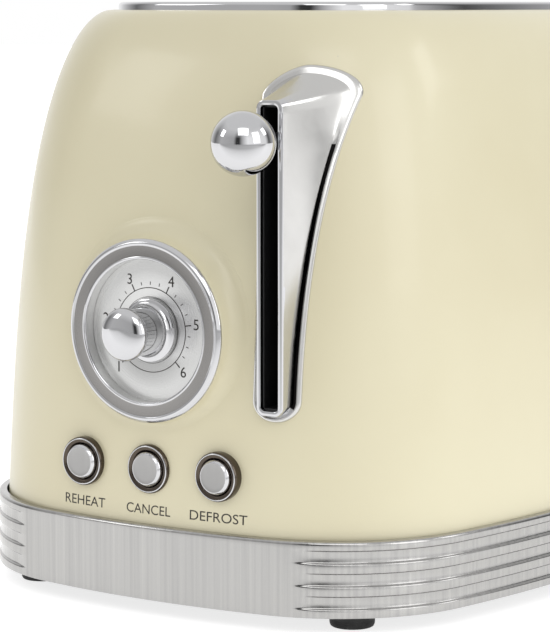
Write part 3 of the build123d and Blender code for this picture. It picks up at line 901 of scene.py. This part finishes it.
def make_escutcheon():
    def at(loop, y):
        return [(LEVER_X + x, y, z) for x, z in loop]

    def on_body(loop, proud, crown=None):
        """A loop laid on the shell and lifted off it, with another lift at the crown where one is given."""
        points = []
        for x, z in loop:
            lift = proud if crown is None else proud + (crown - proud) * ease((z - GUTTER_TOP) / GUTTER_FADE)
            points.append((LEVER_X + x, front_surface(LEVER_X + x, z) - lift, z))
        return points

    def slot(extra):
        return frame_loop(SLOT_HALF + extra, SLOT_BOTTOM - extra, SLOT_TOP + extra, 1.4 + extra)

    def frame_edge(extra):
        lip = FRAME_LIP + extra
        return frame_loop(SLOT_HALF + lip, SLOT_BOTTOM - lip, SLOT_TOP + lip, 2.6 + extra)

    rows = [at(slot(0), FRAME_FRONT + 9), at(slot(0), FRAME_FRONT + 0.5)]
    rows += [at(slot(0.15), FRAME_FRONT + 0.15), at(slot(0.45), FRAME_FRONT)]
    rows += [at(frame_edge(-0.5), FRAME_FRONT), at(frame_edge(-0.15), FRAME_FRONT + 0.12)]
    rows += [at(frame_edge(0), FRAME_FRONT + 0.45)]
    start = at(frame_edge(0.05), FRAME_FRONT + 0.8)
    stop = on_body(teardrop_loop(2.5), 0.5, 1.0)
    flank_steps = 14
    for step in range(flank_steps + 1):
        t = step / flank_steps
        row = []
        for p, q in zip(start, stop):
            sag = 0.10 * max(0.0, q[1] - p[1]) * 4 * t * (1 - t)
            x, y, z = (a + (b - a) * t for a, b in zip(p, q))
            row.append((x, y + sag, z))
        rows.append(row)
    for trim, proud, crown in (
        (2.4, 0.1, 1.0), (1.5, 0.1, 1.05), (1.4, 0.6, 1.05), (1.2, 0.95, 1.05), (0.8, 1.15, 1.05),
        (0.4, 1.0, 0.95), (0.1, 0.6, 0.6), (0.0, 0.1, 0.1), (0.0, -0.6, -0.6),
    ):
        rows.append(on_body(teardrop_loop(trim), proud, crown))
    rows.append(on_body(teardrop_loop(2.4), -0.9))
    piece = mesh_piece("lever_cover", *grid(rows, close_rows=True), COVER_METAL, 32)
    lip = FRAME_LIP + 0.1

    def on_frame(centre, normal):
        """On the bright frame round the slot."""
        beside = abs(centre.x - LEVER_X) < SLOT_HALF + lip
        return beside and SLOT_BOTTOM - lip < centre.z < SLOT_TOP + lip and centre.y < FRAME_FRONT + 10

    paint(piece, CHROME, on_frame)

    def in_gutter_shade(centre, normal):
        """On the floor of the narrow gutter between the flank and the right rim, where a dark metal paints in
        the gap's shade.
        """
        x = centre.x - LEVER_X
        edge = cover_half(centre.z, FLARE_RIGHT) - x
        beside_flank = x > 0 and 66 < centre.z < 150 and 1.35 < edge < 2.6
        return beside_flank and centre.y > front_surface(centre.x, centre.z) - 0.62

    # painted shade: the gutter floor takes the dark metal in place of the shadow in the gap
    paint(piece, GUTTER_PAINTED_SHADE, in_gutter_shade)
    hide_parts("lever_escutcheon")


def make_lever_ball():
    low, high = box_mm("lever_ball")
    radius = (high.x - low.x) / 2
    neck = 3.4
    profile = []
    steps = 48
    stop = pi - asin(neck / radius)
    for step in range(steps + 1):
        turn = stop * step / steps
        profile.append((radius * sin(turn), lever_centre.y - radius * cos(turn)))
    end = profile[-1][1]
    profile[0] = (0.0, profile[0][1])
    profile += [(neck - 0.3, end + 0.5), (neck - 0.5, end + 1.5), (neck - 0.5, end + 2.6), (0.0, end + 2.6)]
    piece = mesh_piece("lever_knob", *lathe(profile, lever_centre), CHROME, 40, "carriage")
    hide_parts("lever_ball")


make_escutcheon()
make_lever_ball()


# ---------------------------------------------------------------- dial
BEZEL_FRONT = box_mm("dial_bezel")[0].y
BEZEL_RADIUS = 28.5
BEZEL_OPENING = 22.1
DIAL_FRONT = box_mm("dial_face")[0].y
SCALE_RADIUS = 13.1
SCALE_START = 225.0          # degrees anticlockwise from the right, where the figure 1 stands
SCALE_STEP = 54.0
INK_PROUD = 0.04
KNOB_BALL_RADIUS = 8.2
KNOB_BALL_START = -32        # degrees round the ball, from where it leaves the neck


def make_bezel():
    front = BEZEL_FRONT
    profile = rounded_loop([
        (BEZEL_OPENING, front + 0.5), (BEZEL_OPENING + 0.55, front), (BEZEL_OPENING + 1.1, front + 0.22),
        (26.5, front + 0.22), (27.0, front), (27.6, front + 0.15), (BEZEL_RADIUS, front + 1.1),
        (BEZEL_RADIUS, front + BEZEL_DEPTH), (24.0, front + BEZEL_DEPTH), (24.0, DIAL_FRONT),
        (BEZEL_OPENING, DIAL_FRONT),
    ], 0.25, 3)
    piece = mesh_piece("bezel_ring", *lathe(profile, dial_centre, turns=160), CHROME, 40)

    def from_axis(point):
        return hypot(point.x - dial_centre.x, point.z - dial_centre.z)

    paint(piece, DIAL_METAL, lambda c, n: c.y > front + 0.6 and from_axis(c) < 22.3)
    paint(piece, BEZEL_METAL, lambda c, n: n.y < -0.98 and 23.1 < from_axis(c) < 26.6)
    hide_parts("dial_bezel")


def text_mesh(words, width, height, centre, wrap):
    """Flat lettering as a mesh, its height and width set in millimetres, each point placed by wrap(x, z)."""
    curve = bpy.data.curves.new("lettering", "FONT")
    curve.body = words
    curve.align_x = "CENTER"
    curve.resolution_u = 6
    item = bpy.data.objects.new("lettering", curve)
    bpy.context.scene.collection.objects.link(item)
    bpy.context.view_layer.update()
    flat = bpy.data.meshes.new_from_object(item.evaluated_get(bpy.context.evaluated_depsgraph_get()))
    bpy.data.objects.remove(item)
    xs = [v.co.x for v in flat.vertices]
    ys = [v.co.y for v in flat.vertices]
    wide = width / (max(xs) - min(xs)) if width else height / (max(ys) - min(ys))
    tall = height / (max(ys) - min(ys))
    mid_x = (max(xs) + min(xs)) / 2
    mid_y = (max(ys) + min(ys)) / 2
    points = []
    for v in flat.vertices:
        points.append(wrap(centre[0] + (v.co.x - mid_x) * wide, centre[1] + (v.co.y - mid_y) * tall))
    faces = [tuple(face.vertices) for face in flat.polygons]
    bpy.data.meshes.remove(flat)
    return points, faces


def make_dial_face():
    face = DIAL_FRONT
    profile = [(5.0, face), (9.6, face), (9.75, face + 0.06), (9.9, face), (18.6, face), (21.0, face + 0.02),
               (24.0, face + 0.02), (24.0, face + 1.2), (5.0, face + 1.2)]
    piece = mesh_piece("dial_disc", *lathe(profile, dial_centre), DIAL_METAL, 30)
    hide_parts("dial_face")

    def flat(x, z):
        return (dial_centre.x + x, face - INK_PROUD, dial_centre.z + z)

    def ring(inner, outer, start, stop, steps):
        rows = [[], []]
        for step in range(steps + 1):
            turn = radians(start + (stop - start) * step / steps)
            rows[0].append(flat(inner * cos(turn), inner * sin(turn)))
            rows[1].append(flat(outer * cos(turn), outer * sin(turn)))
        return grid(rows, close_columns=False)

    marks = [ring(SCALE_RADIUS - 0.13, SCALE_RADIUS + 0.13, 0, 360, 120)]
    marks.append(ring(10.25, 10.38, 0, 360, 96))
    for mark in range(21):
        angle = SCALE_START - SCALE_STEP * mark / 4
        main = mark % 4 == 0
        start, stop = (-0.1, 2.3) if main else (0.9, 1.9)
        inner = SCALE_RADIUS + start
        outer = SCALE_RADIUS + stop
        half = degrees((0.20 if main else 0.13) / outer)
        marks.append(ring(inner, outer, angle - half, angle + half, 1))
    for figure in range(6):
        turn = radians(SCALE_START - SCALE_STEP * figure)
        spot = (17.3 * cos(turn), 17.3 * sin(turn))
        marks.append(text_mesh(str(figure + 1), 0, 3.3, spot, flat))
    print_piece = mesh_piece("dial_print", *join_lists(*marks), INK, 30)


def make_knob():
    low, high = box_mm("dial_knob")
    back, front = high.y, low.y
    profile = [(3.0, back), (9.4, back), (9.7, back - 0.2), (9.8, back - 0.5)]
    profile += [(9.7, back - 0.9), (9.3, back - 1.1)]
    for step in range(1, 9):
        t = step / 8
        profile.append((9.3 - 1.9 * sin(t * pi / 2), back - 1.1 - 2.4 * (1 - cos(t * pi / 2))))
    profile += [(7.35, back - 5.5), (7.3, back - 7.5), (7.2, back - 9.2)]
    centre = back - 13.1
    for step in range(25):
        turn = radians(KNOB_BALL_START + (90 - KNOB_BALL_START) * step / 24)
        profile.append((KNOB_BALL_RADIUS * cos(turn) ** 0.75, centre - (centre - front) * sin(turn)))
    profile[-1] = (0.0, front)
    profile = [(0.0, back - 6), (3.0, back - 6), *profile]
    piece = mesh_piece("knob", *lathe(profile, dial_centre), CHROME, 40, "browning_dial")
    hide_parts("dial_knob")


make_bezel()
make_dial_face()
make_knob()


# ---------------------------------------------------------------- push buttons and their names
LABEL_Z = 33.0
LABEL_HEIGHT = 3.0
LABEL_WIDTHS = {"reheat": 16.9, "cancel": 16.7, "defrost": 20.0}


def make_buttons():
    for name in BUTTONS:
        low, high = box_mm(f"{name}_button")
        centre = middle(f"{name}_button")
        front, back = low.y, high.y
        radius = (high.x - low.x) / 2
        profile = [
            (0.0, front + 0.12), (3.2, front + 0.10), (4.35, front + 0.04), (4.55, front),
            (4.75, front + 0.05), (5.25, front + 0.55), (5.42, front + 0.85), (radius, front + 1.2),
            (radius, front + 7), (2.0, front + 7), (2.0, back), (0.0, back),
        ]
        cap = mesh_piece(f"{name}_cap", *lathe(profile, centre), CHROME, 30, f"{name}_push")
        paint(cap, SATIN_FACE, lambda c, n, m=centre: n.y < -0.9 and hypot(c.x - m.x, c.z - m.z) < 4.5)
        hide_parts(f"{name}_button")
        ring_low, ring_high = box_mm(f"{name}_ring")
        edge = (ring_high.x - ring_low.x) / 2
        lip = ring_low.y
        bore = radius + 0.15
        wall = front_surface(centre.x, centre.z)
        ring = rounded_loop([
            (bore, lip + 0.9), (bore + 0.35, lip + 0.35), (edge - 0.85, lip + 0.15), (edge - 0.55, lip),
            (edge - 0.25, lip + 0.25), (edge, lip + 0.7), (edge, wall + 1.2), (7.0, wall + 1.2),
            (7.0, ring_high.y), (bore, ring_high.y),
        ], 0.15, 2)
        piece = mesh_piece(f"{name}_surround", *lathe(ring, centre), GUNMETAL, 40)
        paint(piece, CHROME, lambda c, n, m=centre, e=edge: e - 0.75 < hypot(c.x - m.x, c.z - m.z) < e - 0.35)
        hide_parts(f"{name}_ring")


def make_labels():
    def on_body(x, z):
        return (x, front_surface(x, z) - INK_PROUD, z)

    for name in BUTTONS:
        centre = (middle(f"{name}_ring").x, LABEL_Z)
        words = text_mesh(name.upper(), LABEL_WIDTHS[name], LABEL_HEIGHT, centre, on_body)
        mesh_piece(f"{name}_name", *words, INK, 60)


make_buttons()
make_labels()


# ---------------------------------------------------------------- top plate
SLOT_CENTRES = (-24.0, 24.0)
SLOT_HALF_WIDTH = 17.0
SLOT_HALF_LENGTH = 70.0
SLOT_CORNER = 5.0


def rounded_rectangle(half_x, half_y, radius, steps=8):
    points = []
    for sx, sy, start in ((1, 1, 0), (-1, 1, 90), (-1, -1, 180), (1, -1, 270)):
        for step in range(steps + 1):
            turn = radians(start + 90 * step / steps)
            x = sx * (half_x - radius) + radius * cos(turn)
            y = sy * (half_y - radius) + radius * sin(turn)
            points.append((x, y))
    return points


def slot_outline(extra):
    """A bread slot's plan outline, made larger all round."""
    return rounded_rectangle(SLOT_HALF_WIDTH + extra, SLOT_HALF_LENGTH + extra, SLOT_CORNER + extra)


def make_top_plate():
    columns = plan_columns(PLAN_STEP)
    profile = [(1.6, plate_low.z), (1.6, SHELL_TOP - 0.4), (0.0, SHELL_TOP - 0.1)]
    radius = 1.3
    for step in range(9):
        turn = radians(90 * step / 8)
        profile.append((radius * (1 - cos(turn)), TOP - radius * (1 - sin(turn))))
    profile += [(3.2, TOP), (3.9, TOP - 0.5), (4.6, TOP - 0.6)]
    rows = [[at_inset(c, TOP_PLATE_INSET + inward, z) for c in columns] for inward, z in profile]
    points, faces = grid(rows)
    last = len(points) - len(columns)
    faces.append(tuple(range(last, len(points))))
    under = [[at_inset(c, TOP_PLATE_INSET + 2.6, plate_low.z) for c in columns]]
    under.append([at_inset(c, TOP_PLATE_INSET + 2.6, TOP - 1.6) for c in columns])
    more_points, more_faces = grid(under)
    more_faces.append(tuple(range(len(columns), 2 * len(columns))))
    start = len(points)
    faces += [tuple(start + i for i in face) for face in more_faces]
    for here in range(len(columns)):
        beside = (here + 1) % len(columns)
        faces.append((here, beside, start + beside, start + here))
    piece = mesh_piece("top_cover", points + more_points, faces, CHROME, 35)
    wells = []
    for x in SLOT_CENTRES:
        outline = slot_outline(0.4)
        wells.append(grid([[(x + a, BODY_Y + b, z) for a, b in outline] for z in (TOP - 30, TOP + 5)]))
        count = len(outline)
        wells[-1][1].append(tuple(range(count)))
        wells[-1][1].append(tuple(range(count, 2 * count)))
    cut(piece, *wells)
    smooth(piece, 35)
    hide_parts("top_plate")
    lips = []
    for x in SLOT_CENTRES:
        rows = []
        for extra, z in ((0, TOP - 11.0), (0, TOP - 0.5), (0.2, TOP - 0.1), (0.6, TOP), (1.2, TOP - 0.15),
                         (1.5, TOP - 0.7), (1.0, TOP - 1.0), (0.8, TOP - 11.0)):
            outline = slot_outline(extra)
            rows.append([(x + a, BODY_Y + b, z) for a, b in outline])
        lips.append(grid(rows, close_rows=True))
    mesh_piece("slot_lips", *join_lists(*lips), CHROME, 50)


# ---------------------------------------------------------------- return spring and feet
SPRING_WIRE = 0.6
WIRE_SIDES = 8
SPRING_TURNS = 12


def make_spring():
    """The return spring, drawn at one length, though the real one shortens as the carriage goes down."""
    low, high = box_mm("return_spring")
    centre = middle("return_spring")
    radius = (high.x - low.x) / 2 - SPRING_WIRE
    steps = SPRING_TURNS * 24
    rows = []
    for step in range(steps + 1):
        turn = 2 * pi * SPRING_TURNS * step / steps
        z = low.z + SPRING_WIRE + (high.z - low.z - 2 * SPRING_WIRE) * step / steps
        row = []
        for side in range(WIRE_SIDES):
            around = 2 * pi * side / WIRE_SIDES
            reach = radius + SPRING_WIRE * cos(around)
            x = centre.x + reach * cos(turn)
            y = centre.y + reach * sin(turn)
            row.append((x, y, z + SPRING_WIRE * sin(around)))
        rows.append(row)
    points, faces = grid(rows)
    faces.append(tuple(range(WIRE_SIDES)))
    faces.append(tuple(range(len(points) - WIRE_SIDES, len(points))))
    piece = mesh_piece("coil_spring", points, faces, WIRE, 60)
    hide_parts("return_spring")
    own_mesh(piece)


def make_feet():
    for end in ("front", "rear"):
        for side in ("left", "right"):
            node = f"foot_{end}_{side}"
            low, high = box_mm(node)
            radius = (high.x - low.x) / 2
            profile = rounded([
                (0.0, 1.6), (2.6, 1.6), (2.6, 0.0), (radius - 0.9, 0.0), (radius - 0.5, 1.0),
                (radius - 0.5, 2.6), (radius, 3.2), (radius, high.z), (0.0, high.z),
            ], 0.5, 3)
            piece = mesh_piece(f"rubber_{node}", *lathe(profile, middle(node), "z", 72), RUBBER, 40)
            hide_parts(node)


make_spring()
make_top_plate()
make_feet()
